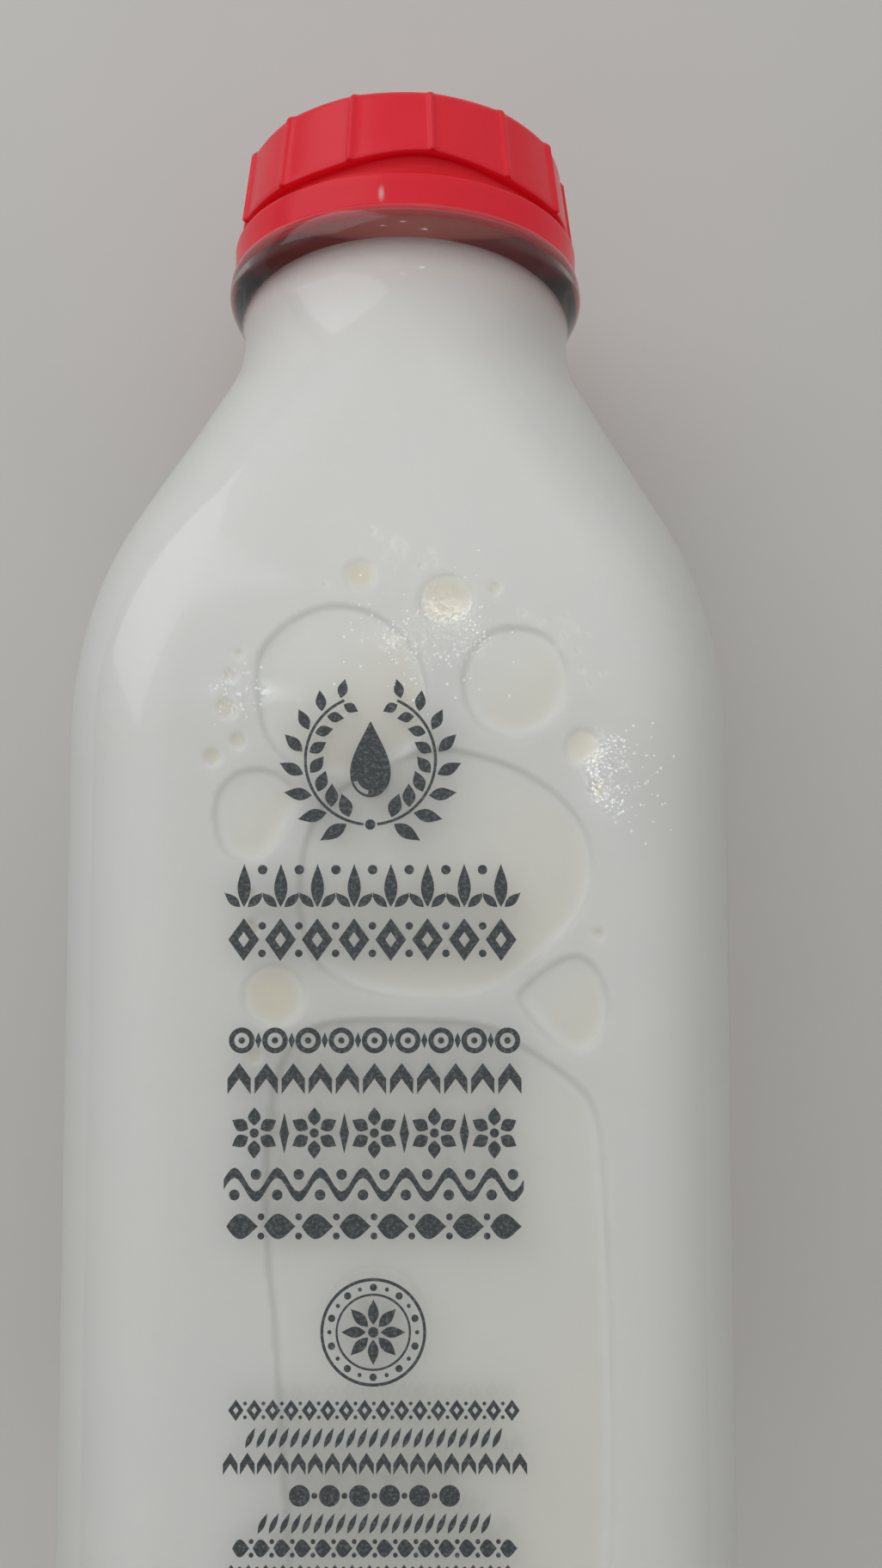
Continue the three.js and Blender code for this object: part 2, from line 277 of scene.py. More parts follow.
# %% [markdown]
# The bottle's outline, from base to mouth, is a handful of arcs: heel, straight side, shoulder,
# slope, neck, the glass ring under the cap, and the lip. Each point of the outline is a level
# section: how far along it lies, half its width, and the radius of its corners. A section
# whose corner radius equals its half width is a circle, so the same list describes the square
# body, the round neck and all between them.

# %% The bottle's outline
BODY_CORNER = 15.5 * MM
WALL = 3.8 * MM
HEEL_RADIUS = 8 * MM
BEARING_WIDTH = 5 * MM
PUSH_UP = 3 * MM
BASE_THICKNESS = 7 * MM
FLOOR_RADIUS = 9 * MM
LEAST_CORNER = 4 * MM
SHOULDER_START = 124.7 * MM
SHOULDER_RADIUS = 83 * MM
SHOULDER_TILT = math.radians(22.1)
NECK_CURVE_RADIUS = 27.2 * MM
NECK_RADIUS = 24.9 * MM
NECK_ALONG = 189.5 * MM
ROUNDING_POWER = 1.45
RING_RADIUS = 27.2 * MM
RING_ALONG = 195.9 * MM
RING_TOP = 199.3 * MM
RING_FULLNESS = 0.25
FINISH_RADIUS = 22.3 * MM
BORE_RADIUS = 19 * MM
BORE_START = 200.5 * MM
MOUTH_ALONG = 214.4 * MM
LIP_RADIUS = 1.4 * MM
QUARTER_TURN = math.pi / 2
OUTLINE_STEP = 0.8 * MM


def steps_for(length, step=OUTLINE_STEP):
    return max(4, round(length / step))


def arc_shares(count):
    return np.linspace(0, 1, count + 1)


def corner_at(half):
    """The corner radius of a section this wide, as the square turns into the round neck."""
    progress = np.clip((body_half - half) / (body_half - NECK_RADIUS), 0, 1)
    square_share = BODY_CORNER / body_half
    return half * (square_share + (1 - square_share) * progress**ROUNDING_POWER)


def shoulder_outline(inset):
    """Sections of the shoulder for a surface that lies inset inside the outer face."""
    tilts = SHOULDER_TILT * arc_shares(steps_for(SHOULDER_RADIUS * SHOULDER_TILT))
    along = SHOULDER_START + SHOULDER_RADIUS * np.sin(tilts)
    half = body_half - SHOULDER_RADIUS * (1 - np.cos(tilts))
    bend = np.stack([along, half, tilts], axis=1)
    tilts = SHOULDER_TILT * (1 - arc_shares(steps_for(NECK_CURVE_RADIUS * SHOULDER_TILT)))
    along = NECK_ALONG - NECK_CURVE_RADIUS * np.sin(tilts)
    half = NECK_RADIUS + NECK_CURVE_RADIUS * (1 - np.cos(tilts))
    neck = np.stack([along, half, tilts], axis=1)
    slope_length = np.linalg.norm(neck[0, :2] - bend[-1, :2])
    shares = arc_shares(steps_for(slope_length))[1:-1, None]
    slope = bend[-1] * (1 - shares) + neck[0] * shares
    along, half, tilt = np.concatenate([bend, slope, neck]).T
    corner = corner_at(half) - inset
    return np.stack([along - inset * np.sin(tilt), half - inset * np.cos(tilt), corner], axis=1)


def round_sections(along, radius):
    return np.stack([along, radius, radius], axis=1)


def drawn_in(along, distance):
    """Body sections drawn in from the sides, with their corners drawn in alike."""
    corner = np.maximum(BODY_CORNER - distance, LEAST_CORNER)
    return np.stack([along, body_half - distance, corner], axis=1)


def base_outline():
    inner = body_half - HEEL_RADIUS - BEARING_WIDTH
    shares = arc_shares(steps_for(inner))[1:]
    half = inner * shares
    corner = np.minimum(inner + (LEAST_CORNER - inner) * shares**2, half)
    middle = np.stack([PUSH_UP * np.cos(QUARTER_TURN * shares), half, corner], axis=1)
    angles = QUARTER_TURN * arc_shares(steps_for(QUARTER_TURN * HEEL_RADIUS))
    heel = drawn_in(HEEL_RADIUS * (1 - np.cos(angles)), HEEL_RADIUS * (1 - np.sin(angles)))
    return np.concatenate([middle, heel])


def ring_outline():
    shares = arc_shares(steps_for(RING_ALONG - NECK_ALONG, OUTLINE_STEP / 2))[1:]
    bulge = (1 - np.cos(math.pi * shares)) / 2
    below = round_sections(
        NECK_ALONG + (RING_ALONG - NECK_ALONG) * shares,
        NECK_RADIUS + (RING_RADIUS - NECK_RADIUS) * bulge,
    )
    angles = QUARTER_TURN * shares
    above = round_sections(
        RING_ALONG + (RING_TOP - RING_ALONG) * np.sin(angles),
        FINISH_RADIUS + (RING_RADIUS - FINISH_RADIUS) * np.abs(np.cos(angles)) ** RING_FULLNESS,
    )
    return np.concatenate([below, above])


def lip_outline():
    angles = QUARTER_TURN * arc_shares(8)
    outside = round_sections(
        MOUTH_ALONG - LIP_RADIUS * (1 - np.sin(angles)),
        FINISH_RADIUS - LIP_RADIUS * (1 - np.cos(angles)),
    )
    inside = round_sections(
        MOUTH_ALONG - LIP_RADIUS * (1 - np.cos(angles)),
        BORE_RADIUS + LIP_RADIUS * (1 - np.sin(angles)),
    )
    return np.concatenate([outside, inside])


def inner_outline(inset, body_step):
    """The inside from its floor to the bore, with sections body_step apart on the body."""
    floor = BASE_THICKNESS + inset - WALL
    angles = QUARTER_TURN * arc_shares(steps_for(QUARTER_TURN * FLOOR_RADIUS))
    bottom = drawn_in(
        floor + FLOOR_RADIUS * (1 - np.cos(angles)),
        inset + FLOOR_RADIUS * (1 - np.sin(angles)),
    )
    side_start = floor + FLOOR_RADIUS
    count = steps_for(SHOULDER_START - side_start, body_step)
    along = np.linspace(side_start, SHOULDER_START, count)[1:-1]
    side = drawn_in(along, np.full(len(along), inset))
    shares = arc_shares(steps_for(BORE_START - NECK_ALONG))[1:]
    bore = BORE_RADIUS + WALL - inset
    neck = NECK_RADIUS - inset
    narrowing = round_sections(
        NECK_ALONG + (BORE_START - NECK_ALONG) * shares,
        neck + (bore - neck) * (1 - np.cos(math.pi * shares)) / 2,
    )
    return np.concatenate([bottom, side, shoulder_outline(inset), narrowing])


# %% [markdown]
# A skin is drawn through the sections like the hoops of a barrel. A section is a closed ring of
# points, and it needs more of them where fine relief is wanted, so the number on each flat side
# can be given. Two neighbouring rings are joined by four-sided faces.

# %% Skin through sections
CORNER_POINTS = 22
FLAT_POINTS = 8


def squared_ring(half, corner, top_points):
    """Points (across, up) round one section. The upper flat side holds top_points points."""
    corner = min(corner, half - 0.01 * MM)
    flat = half - corner
    angles = np.linspace(0, QUARTER_TURN, CORNER_POINTS)
    arc = np.stack([flat + corner * np.cos(angles), flat + corner * np.sin(angles)], axis=1)
    points = []
    for quarter in range(4):
        turn = quarter * QUARTER_TURN
        spin = np.array([[math.cos(turn), math.sin(turn)], [-math.sin(turn), math.cos(turn)]])
        count = top_points if quarter == 0 else FLAT_POINTS
        across = np.linspace(flat, -flat, count + 2)[1:-1]
        side = np.stack([across, np.full(count, half)], axis=1)
        points.append(np.concatenate([arc, side]) @ spin)
    return np.concatenate(points)


def skin(name, sections, top_points=FLAT_POINTS):
    rings = [squared_ring(half, corner, top_points) for _, half, corner in sections]
    return mesh_from_rings(name, [s[0] for s in sections], rings)


def mesh_from_rings(name, alongs, rings):
    """A closed mesh through rings of (across, up) points, each at its place along the bottle."""
    count = len(rings[0])
    points = np.array(
        [[x, base_y + a, axis_height + u] for a, ring in zip(alongs, rings) for x, u in ring]
    )
    levels = np.arange(len(rings) - 1)[:, None] * count
    here = levels + np.arange(count)
    following = levels + (np.arange(count) + 1) % count
    quads = np.stack([here, here + count, following + count, following], axis=-1).reshape(-1, 4)
    faces = quads.tolist()
    faces.append(list(range(count)))
    faces.append(list(range(len(points) - count, len(points)))[::-1])
    mesh = bpy.data.meshes.new(name)
    mesh.from_pydata(points.tolist(), [], faces)
    mesh.update()
    mesh.shade_smooth()
    print(f"{name}: {len(mesh.vertices)} points, {len(mesh.polygons)} faces")
    return placed(name, mesh)


# %% [markdown]
# The glass is one wall with an outside, a lip and an inside, so that light bends both where it
# enters and where it leaves. That bending is what makes the milk seem to reach the outline.

# %% Glass
SIDE_STEP = 3 * MM
sides = np.linspace(HEEL_RADIUS, SHOULDER_START, steps_for(SHOULDER_START, SIDE_STEP))[1:-1]
glass_sections = [
    base_outline(),
    drawn_in(sides, np.zeros(len(sides))),
    shoulder_outline(0),
    ring_outline(),
    lip_outline(),
    inner_outline(WALL, SIDE_STEP)[::-1],
]
glass = skin("bottle_glass", np.concatenate(glass_sections))

# %% [markdown]
# Glass is a Principled shader with full transmission and the refraction index of bottle glass.
# Moulded glass is never quite flat, so a gentle noise will bend its reflections a little. Lamp
# light is let through it unchanged, which is close to the truth for clear glass over milk and
# keeps the picture free of grain.

# %% Glass finish
glass_material, glass_shader = new_material(
    "clear_moulded_glass",
    Base_Color=(0.985, 0.995, 0.99, 1),
    Roughness=0.1,
    IOR=1.5,
    Transmission_Weight=1.0,
)
glass_waves = noise_on(glass_material, 12 * MM, detail=1)

# %% [markdown]
# Cold glass gathers dew. Its drops are far too many to model one by one, so they are bumps: the
# cells of a Voronoi texture, rounded, and kept to a few soft round patches of the front face
# (across, along and radius in millimetres). They are added to the waves of the glass, so that
# one Bump node serves both.

# %% Dew
DEW_CELL = 0.6 * MM
DEW_HEIGHT = 0.025 * MM
WAVE_HEIGHT = 0.1 * MM
dew_patches = [(4.5, 136.5, 11.0), (28.8, 120.2, 8.0), (-18.3, 129.9, 5.5)]

dew_place = add_node(glass_material, "TexCoord")
dew_cells = add_node(glass_material, "TexVoronoi", Scale=1 / DEW_CELL)
dew_drops = add_node(glass_material, "MapRange", From_Max=0.9, To_Min=1, To_Max=0)
dew_drops.interpolation_type = "SMOOTHSTEP"
link(glass_material, dew_place.outputs["Object"], dew_cells.inputs["Vector"])
link(glass_material, dew_cells.outputs["Distance"], dew_drops.inputs["Value"])
dew_cover = 0.0
for across, along, radius in dew_patches:
    centre = in_scene(across * MM, along * MM, body_half)
    patch = spot_on(glass_material, centre, [radius * MM] * 3)
    dew_cover = calculated(glass_material, "ADD", dew_cover, patch)
dew = calculated(glass_material, "MULTIPLY", dew_drops.outputs["Result"], dew_cover)
dew = calculated(glass_material, "MULTIPLY", dew, DEW_HEIGHT / WAVE_HEIGHT)
relief = calculated(glass_material, "ADD", glass_waves.outputs["Fac"], dew)
glass_bump = bump_from(glass_material, relief, 1.0, WAVE_HEIGHT)
link(glass_material, glass_bump.outputs["Normal"], glass_shader.inputs["Normal"])
glass.data.materials.append(glass_material)
glass.visible_shadow = False
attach(glass, "root")
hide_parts("glass_bottle")

# %% [markdown]
# The air under the front face has gathered in rounded pockets. A small one is round: across,
# along and radius, in millimetres. Its depth is a share of its radius, and the smallest are the
# faintest. A large one is a smooth closed curve through a few points, each given as across and
# along. Inside an outline the milk's upper face sinks softly and then runs level, because a
# bubble under glass is a flattened cushion of air.

# %% Air pockets
POCKET_DEPTH = 0.28 * MM
POCKET_EDGE = 2.4 * MM
RIM_WIDTH = 1.5 * MM
SMALL_POCKET_DEPTH = 0.06
FULL_TONE_RADIUS = 1.2
CURVE_STEPS = 6
PINHOLES_AN_ARC = 18
PINHOLE_SPREAD = 1.0
PINHOLE_RADII = (0.2, 0.42)

large_pockets = [
    [(-7.8, 141.3), (-2.1, 140.0), (2.6, 135.5), (4.2, 130.8), (3.7, 125.6), (0.1, 121.4),
     (-6.1, 119.5), (-12.4, 121.1), (-16.0, 125.0), (-17.2, 130.8), (-16.6, 135.5), (-13.0, 139.4)],
    [(14.3, 138.6), (18.8, 137.3), (21.1, 133.4), (21.2, 129.7), (18.7, 126.1), (14.6, 124.5),
     (10.4, 125.6), (8.0, 129.2), (7.9, 133.4), (10.4, 137.3)],
    [(-16.4, 121.4), (-13.4, 120.4), (-11.3, 118.1), (-11.1, 116.4), (-12.3, 114.2),
     (-14.1, 111.3), (-16.4, 109.5), (-19.1, 109.7), (-21.3, 111.6), (-22.1, 115.2),
     (-21.6, 118.3), (-19.6, 120.6)],
    [(-6.6, 119.0), (-1.0, 121.9), (4.5, 123.7), (9.0, 123.3), (14.7, 121.4), (19.7, 118.2),
     (23.0, 114.0), (24.1, 109.4), (23.5, 105.7), (22.0, 102.6), (19.2, 99.6), (16.0, 96.8),
     (12.9, 94.5), (9.1, 93.3), (2.3, 93.0), (-4.0, 94.2), (-8.9, 96.8), (-11.2, 100.8),
     (-11.9, 105.9), (-11.3, 111.6), (-9.4, 116.2)],
    [(22.0, 99.0), (24.2, 97.6), (25.5, 94.7), (25.9, 92.2), (25.0, 89.2), (23.1, 87.2),
     (21.1, 86.7), (18.5, 88.2), (16.0, 90.9), (14.4, 93.2), (14.8, 94.9), (17.0, 96.8),
     (19.6, 98.5)],
    [(-8.4, 91.0), (3.6, 91.4), (11.5, 90.5), (16.0, 88.0), (21.0, 84.6), (23.8, 81.4),
     (24.9, 76.0), (25.3, 68.4), (25.8, 57.3), (26.0, 44.1), (25.6, 31.0), (23.4, 21.5),
     (17.0, 18.6), (5.0, 18.2), (-6.0, 18.6), (-11.5, 22.0), (-12.9, 35.3), (-13.9, 48.5),
     (-14.6, 57.3), (-15.3, 63.5), (-15.6, 71.6), (-15.1, 80.6), (-13.3, 87.1)],
]
small_pockets = [
    (-14.4, 93.9, 3.9), (6.2, 141.6, 3.5), (22.6, 123.5, 2.4), (-4.5, 144.9, 2.1),
    (12.1, 143.1, 0.85), (-8.9, 143.6, 0.45), (-19.1, 134.9, 0.65), (-20.1, 132.2, 0.85),
    (-20.5, 128.2, 1.25), (-19.0, 124.4, 1.05), (-22.1, 122.4, 1.15), (24.4, 118.6, 1.15),
    (-17.6, 105.9, 1.05), (-17.2, 102.0, 1.05), (-16.7, 86.9, 1.0), (24.2, 101.2, 0.7),
]
pinhole_arcs = [
    [(-3.5, 149.5), (1.0, 149.0), (5.0, 146.5)],
    [(15.0, 141.0), (20.5, 138.5), (23.5, 133.0), (25.0, 126.0)],
]


def pinholes_along(arc, rng):
    """Tiny pockets scattered about a line, as (across, along, radius) in millimetres."""
    stations = rng.uniform(0, len(arc) - 1, PINHOLES_AN_ARC)
    places = []
    for side in np.transpose(arc):
        on_line = np.interp(stations, range(len(arc)), side)
        places.append(on_line + rng.normal(0, PINHOLE_SPREAD, PINHOLES_AN_ARC))
    return list(zip(*places, rng.uniform(*PINHOLE_RADII, PINHOLES_AN_ARC)))


pinhole_draw = np.random.default_rng(5)
for arc in pinhole_arcs:
    small_pockets += pinholes_along(arc, pinhole_draw)


def smooth_loop(corners):
    """A closed Catmull-Rom curve through the corners, with CURVE_STEPS points to each."""
    before, here = np.roll(corners, 1, axis=0), np.array(corners)
    after, later = np.roll(corners, -1, axis=0), np.roll(corners, -2, axis=0)
    shares = np.linspace(0, 1, CURVE_STEPS, endpoint=False)[:, None, None]
    curve = 0.5 * (
        2 * here
        + (after - before) * shares
        + (2 * before - 5 * here + 4 * after - later) * shares**2
        + (3 * here - before - 3 * after + later) * shares**3
    )
    return curve.transpose(1, 0, 2).reshape(-1, 2)


def depth_inside(points, outline):
    """How far each point lies inside a closed outline, in millimetres, or 0 outside it."""
    nearest = np.full(len(points), np.inf)
    inside = np.zeros(len(points), bool)
    for start, end in zip(outline, np.roll(outline, -1, axis=0)):
        side = end - start
        share = np.clip(((points - start) @ side) / (side @ side), 0, 1)
        away = points - start - share[:, None] * side
        nearest = np.minimum(nearest, np.hypot(away[:, 0], away[:, 1]))
        if start[1] != end[1]:
            crossing = start[0] + (points[:, 1] - start[1]) * side[0] / side[1]
            spans = (start[1] > points[:, 1]) != (end[1] > points[:, 1])
            inside ^= spans & (points[:, 0] < crossing)
    return np.where(inside, nearest, 0.0)


def soft_step(share):
    share = np.clip(share, 0, 1)
    return share**2 * (3 - 2 * share)


# %% [markdown]
# The milk is a skin through sections that lie just inside the wall, so no gap shows between
# milk and glass. Where there is air, the points of its upper side are 0.4 mm apart, and each one
# is lowered by the air above it. Elsewhere the sections lie further apart, to save faces.

# %% Milk
INTO_WALL = 0.3 * MM
CLEARANCE = 0.3 * MM
FINE_STEP = 0.4 * MM
WIDE_STEP = 1.2 * MM
AIR_FROM, AIR_TO = 16 * MM, 153 * MM
MILK_END = 197.6 * MM
MILK_CORE_RADIUS = 17.2 * MM
# Limits the painted light on the lit side of long pockets.
LIT_WALL_LENGTH = 25
# Strength of the painted shade along the pockets' rims.
RIM_STRENGTH = 0.55


def milk_sections():
    outline = inner_outline(WALL - INTO_WALL, FINE_STEP)
    along, half, corner = outline.T
    bottom = outline[along <= along[0] + FLOOR_RADIUS]
    stations = np.concatenate(
        [np.arange(AIR_FROM, AIR_TO, FINE_STEP), np.arange(AIR_TO, MILK_END, WIDE_STEP)]
    )
    halves, corners = (np.interp(stations, along, measure) for measure in (half, corner))
    sides = np.stack([stations, halves, corners], axis=1)
    core_along = np.linspace(MILK_END, MOUTH_ALONG - CLEARANCE, 8)
    core = round_sections(core_along, np.full(8, MILK_CORE_RADIUS))
    return np.concatenate([bottom, sides, core])


def store_field(mesh, name, values):
    """Keeps one number for each point of the mesh, for its material to read."""
    field = mesh.attributes.new(name, "FLOAT", "POINT")
    field.data.foreach_set("value", values.astype(np.float32))


milk = skin("milk_fill", milk_sections(), top_points=130)
points = np.array([vertex.co for vertex in milk.data.vertices])
on_top = points[:, 2] > axis_height + 0.6 * NECK_RADIUS
top = np.stack([points[on_top, 0], points[on_top, 1] - base_y], axis=1) / MM
sink, air, cream_and_lit_wall, rim_shade = (np.zeros(len(top)) for _ in range(4))
for corners in large_pockets:
    outline = smooth_loop(corners)
    depth = depth_inside(top, outline) * MM
    share = soft_step(depth / POCKET_EDGE)
    sink = np.maximum(sink, share * POCKET_DEPTH)
    air = np.maximum(air, share)
    low, high = outline.min(axis=0), outline.max(axis=0)
    lower_right = ((top - low) / (high - low)) @ np.array([0.5, -0.5]) + 0.5
    lit_wall_share = min(1, LIT_WALL_LENGTH / (high[1] - low[1]))
    # Painted light, in the cream colour, on the lower right side of a large pocket, which faces the
    # light.
    cream_and_lit_wall = np.maximum(cream_and_lit_wall, lit_wall_share * share * np.clip(1.3 * lower_right - 0.45, 0, 1))
    # Painted shade: a thin grey line on the upper left rim of a large pocket, turned away from the
    # light.
    line = np.where(depth > 0, np.exp(-((2 * depth / RIM_WIDTH - 0.8) ** 2)), 0)
    rim_shade = np.maximum(rim_shade, RIM_STRENGTH * line * np.clip(1.15 - lower_right, 0.1, 1))
for across, along, radius in small_pockets:
    away = np.hypot(top[:, 0] - across, top[:, 1] - along)
    share = soft_step((radius - away) / (0.7 * radius) + 0.15)
    sink = np.maximum(sink, share * SMALL_POCKET_DEPTH * radius * MM)
    air = np.maximum(air, share * min(1, radius / FULL_TONE_RADIUS))
    cream_and_lit_wall = np.maximum(cream_and_lit_wall, share * min(1, radius / FULL_TONE_RADIUS))
points[on_top, 2] -= sink + np.where(air > 0, INTO_WALL * soft_step(air * 4), 0)
milk.data.vertices.foreach_set("co", points.ravel())
for name, values in (("air", air), ("cream_and_lit_wall", cream_and_lit_wall), ("rim_shade", rim_shade)):
    field = np.zeros(len(points))
    field[on_top] = values
    store_field(milk.data, name, field)
milk.data.update()
print(f"deepest air {1000 * sink.max():.2f} mm, {np.count_nonzero(air)} points under air")

# %% [markdown]
# Milk scatters light under its surface, which Subsurface does. Its Burley method is quick, and
# enough for a body this thick. Against the glass milk looks bluish white, and where it hangs
# below air it looks warmer. A small bubble is creamy. In a large pocket the same cream is
# painted light on the lower right side, which faces the light, and a thin grey line of painted
# shade marks the upper left rim, which is turned away from it. The fields worked out above say
# how much of each.

# %% Milk finish
AGAINST_GLASS = (0.70, 0.705, 0.695, 1)
WARMER_MILK = (0.71, 0.705, 0.675, 1)
UNDER_AIR = (0.610, 0.603, 0.575, 1)
# Cream for small bubbles, and painted light on the lit side of large pockets.
CREAM_AND_LIT_WALL = (0.605, 0.568, 0.460, 1)
# Painted shade for the upper left rims of the pockets.
RIM_SHADE_GREY = (0.530, 0.530, 0.510, 1)

milk_material, milk_shader = new_material(
    "whole_milk",
    Roughness=0.5,
    Subsurface_Weight=0.8,
    Subsurface_Radius=(1.0, 0.85, 0.7),
    Subsurface_Scale=3 * MM,
)
milk_shader.subsurface_method = "BURLEY"
milk.data.materials.append(milk_material)
milk_tone = noise_on(milk_material, 14 * MM, detail=1)
milk_colour = ramp_on(milk_material, milk_tone.outputs["Fac"], AGAINST_GLASS, WARMER_MILK)
for field, tint in (("air", UNDER_AIR), ("cream_and_lit_wall", CREAM_AND_LIT_WALL), ("rim_shade", RIM_SHADE_GREY)):
    milk_colour = tinted(milk_material, milk_colour, field_on(milk_material, field), tint)
link(milk_material, milk_colour, milk_shader.inputs["Base Color"])
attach(milk, "root")
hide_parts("milk")

# %% [markdown]
# The cap is moulded: a plain band at the rim, a groove above it, and a ribbed part that tapers
# to a rounded top edge. Between two ribs its face is nearly flat. A ring of points goes round
# the cap, with the rib's rounded crest and the flat face worked out from the angle.

# %% Cap
CAP_BAND_RADIUS = 26.4 * MM
CAP_BAND_TOP = 203.1 * MM
CAP_GROOVE_RADIUS = 24.2 * MM
CAP_GROOVE_ALONG = 203.9 * MM
CAP_GROOVE_END = 204.9 * MM
CAP_RIB_BOTTOM = 205.2 * MM
CAP_LOWER_RADIUS = 25.6 * MM
CAP_UPPER_RADIUS = 24.3 * MM
CAP_EDGE_RADIUS = 1.5 * MM
CAP_TOP_THICKNESS = 1.7 * MM
RIM_ROUNDING = 0.4 * MM
RIB_COUNT = 14
RIB_HEIGHT = 0.55 * MM
RIB_HALF_WIDTH = 0.75 * MM
RIB_TURN = math.radians(9.8)
FACET_FLATNESS = 0.3
SEAL_BOTTOM = 197.9 * MM
SEAL_THICKNESS = 1.2 * MM
RIB_POINTS = 9
FACET_POINTS = 10


def cap_ring(foot, rib_height=0.0, flatness=0.0):
    """Points (across, up) round the cap, whose radius is foot beside a rib."""
    pitch = 2 * math.pi / RIB_COUNT
    foot_angle = RIB_HALF_WIDTH / foot
    facet_half = pitch / 2 - foot_angle
    rib_angles = np.linspace(-foot_angle, foot_angle, RIB_POINTS)
    rib_radii = foot + rib_height * (1 + np.cos(math.pi * rib_angles / foot_angle)) / 2
    facet_angles = np.linspace(-facet_half, facet_half, FACET_POINTS + 2)[1:-1]
    flat_radii = foot * math.cos(facet_half) / np.cos(facet_angles)
    facet_radii = foot + (flat_radii - foot) * flatness
    angles = np.concatenate([rib_angles, facet_angles + pitch / 2])
    radii = np.concatenate([rib_radii, facet_radii])
    turns = RIB_TURN + pitch * np.arange(RIB_COUNT)[:, None]
    around = (turns + angles).ravel()
    radii = np.tile(radii, RIB_COUNT)
    return np.stack([radii * np.sin(around), radii * np.cos(around)], axis=1)


def cap_profile():
    """(along, foot radius, rib height, flatness) from the inside of the top to its outside."""
    cap_bottom, cap_top = cap_low.y - base_y, cap_high.y - base_y
    inside_radius = FINISH_RADIUS + CLEARANCE
    seal_radius = BORE_RADIUS - CLEARANCE
    seal_inside = seal_radius - SEAL_THICKNESS
    inside_top = cap_top - CAP_TOP_THICKNESS
    turns = QUARTER_TURN * arc_shares(4)
    rows = [(inside_top, share * seal_inside, 0, 0) for share in (0.2, 0.6, 1)]
    rows += [(a, seal_inside, 0, 0) for a in np.linspace(inside_top, SEAL_BOTTOM, 8)[1:]]
    rows += [(a, seal_radius, 0, 0) for a in np.linspace(SEAL_BOTTOM, inside_top, 8)]
    rows += [(a, inside_radius, 0, 0) for a in np.linspace(inside_top, cap_bottom, 8)]
    for t in turns:
        along = cap_bottom + RIM_ROUNDING * (1 - math.cos(t))
        rows.append((along, CAP_BAND_RADIUS - RIM_ROUNDING * (1 - math.sin(t)), 0, 0))
    rows += [(a, CAP_BAND_RADIUS, 0, 0) for a in np.linspace(cap_bottom, CAP_BAND_TOP, 12)[2:-2]]
    for t in turns:
        along = CAP_BAND_TOP - RIM_ROUNDING * (1 - math.sin(t))
        rows.append((along, CAP_BAND_RADIUS - RIM_ROUNDING * (1 - math.cos(t)), 0, 0))
    groove_depth = CAP_BAND_RADIUS - RIM_ROUNDING - CAP_GROOVE_RADIUS
    for t in turns[1:]:
        along = CAP_BAND_TOP + (CAP_GROOVE_ALONG - CAP_BAND_TOP) * (1 - math.cos(t))
        rows.append((along, CAP_BAND_RADIUS - RIM_ROUNDING - groove_depth * math.sin(t), 0, 0))
    for t in QUARTER_TURN * arc_shares(8):
        rise = math.sin(t)
        along = CAP_GROOVE_END + (CAP_RIB_BOTTOM - CAP_GROOVE_END) * (1 - math.cos(t))
        foot = CAP_GROOVE_RADIUS + (CAP_LOWER_RADIUS - CAP_GROOVE_RADIUS) * rise
        rows.append((along, foot, RIB_HEIGHT * rise, FACET_FLATNESS * rise))
    edge_start = cap_top - CAP_EDGE_RADIUS
    for share in arc_shares(10)[1:-1]:
        along = CAP_RIB_BOTTOM + (edge_start - CAP_RIB_BOTTOM) * share
        foot = CAP_LOWER_RADIUS + (CAP_UPPER_RADIUS - CAP_LOWER_RADIUS) * share
        rows.append((along, foot, RIB_HEIGHT, FACET_FLATNESS))
    for t in QUARTER_TURN * arc_shares(8):
        along = edge_start + CAP_EDGE_RADIUS * math.sin(t)
        foot = CAP_UPPER_RADIUS - CAP_EDGE_RADIUS * (1 - math.cos(t))
        rows.append((along, foot, RIB_HEIGHT * math.cos(t), FACET_FLATNESS))
    top_radius = CAP_UPPER_RADIUS - CAP_EDGE_RADIUS
    rows += [(cap_top, share * top_radius, 0, FACET_FLATNESS * share) for share in (0.9, 0.6, 0.2)]
    return rows


cap_rows = cap_profile()
cap = mesh_from_rings(
    "screw_cap", [row[0] for row in cap_rows], [cap_ring(*row[1:]) for row in cap_rows]
)

# %% [markdown]
# At the front the groove is wider, where the ribbed part's lower edge is cut back in a shallow
# crescent. The finished mesh is stretched a little along the bottle there, most in the middle
# of the crescent and not at all at the band or near the top.

# %% Crescent in the groove
CRESCENT_HEIGHT = 1.7 * MM
CRESCENT_MIDDLE = math.radians(7)
CRESCENT_SPREAD = math.radians(16)
CRESCENT_END = 213 * MM

for vertex in cap.data.vertices:
    across, along, up = vertex.co.x, vertex.co.y - base_y, vertex.co.z - axis_height
    if CAP_GROOVE_ALONG < along < CRESCENT_END and math.hypot(across, up) > FINISH_RADIUS + MM:
        around = (math.atan2(across, up) - CRESCENT_MIDDLE) / CRESCENT_SPREAD
        rise = min(1, (along - CAP_GROOVE_ALONG) / (CAP_GROOVE_END - CAP_GROOVE_ALONG))
        fade = min(1, (CRESCENT_END - along) / (CRESCENT_END - CAP_RIB_BOTTOM))
        vertex.co.y += CRESCENT_HEIGHT * math.exp(-(around**2) / 2) * rise * fade
cap.data.update()

# %% [markdown]
# Two tones are painted on by fields on the cap's points. The seal, seen through the glass
# ring, is painted a paler red than the shell: painted light that lifts the shade inside the cap.
# The groove is painted a deeper red, most of all under the crescent: painted shade, where little
# light gets in and what does goes from red to red before it comes out.

# %% Painted light and shade on the cap
# The groove's painted shade fades in between these two radii.
GROOVE_SHADE_FROM, GROOVE_SHADE_TO = CAP_GROOVE_RADIUS + 0.2 * MM, CAP_LOWER_RADIUS - 0.2 * MM

